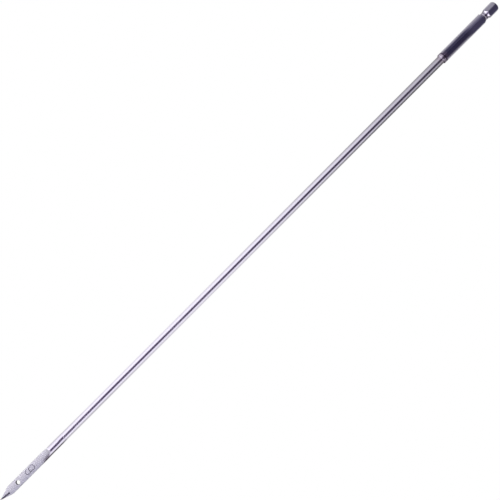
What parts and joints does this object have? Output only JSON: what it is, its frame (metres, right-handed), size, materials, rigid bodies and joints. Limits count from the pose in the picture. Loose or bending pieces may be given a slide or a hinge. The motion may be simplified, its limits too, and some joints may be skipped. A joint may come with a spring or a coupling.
{
  "type": "long flat wood bit",
  "caption": "Extra-long flat wood boring bit with a hexagonal quick-change shank, round shaft and forged flat blade with a pull hole.",
  "frame": {"origin": "centre of the flat disc at the rear end of the hexagonal shank", "axes": "+X along the bit's axis towards the point, +Z out of the marked face of the blade and through one corner of the hexagon, +Y out of the left edge of the blade when the point is up and the marked face is towards the viewer"},
  "size_m": [0.45, 0.0068, 0.0074],
  "materials": {
    "dark_steel": "dark drawn steel with a thin oxide film, bright where turned",
    "bright_steel": "bright ground along the shaft",
    "ground_steel": "matte, surface ground",
    "braze": "silver-grey brazing alloy, turned"
  },
  "bodies": {
    "root": {"hex_shank": "dark_steel", "shaft": "bright_steel", "blade": "ground_steel", "shank_braze_ring": "braze", "blade_braze_ring": "braze"}
  },
  "joints": []
}
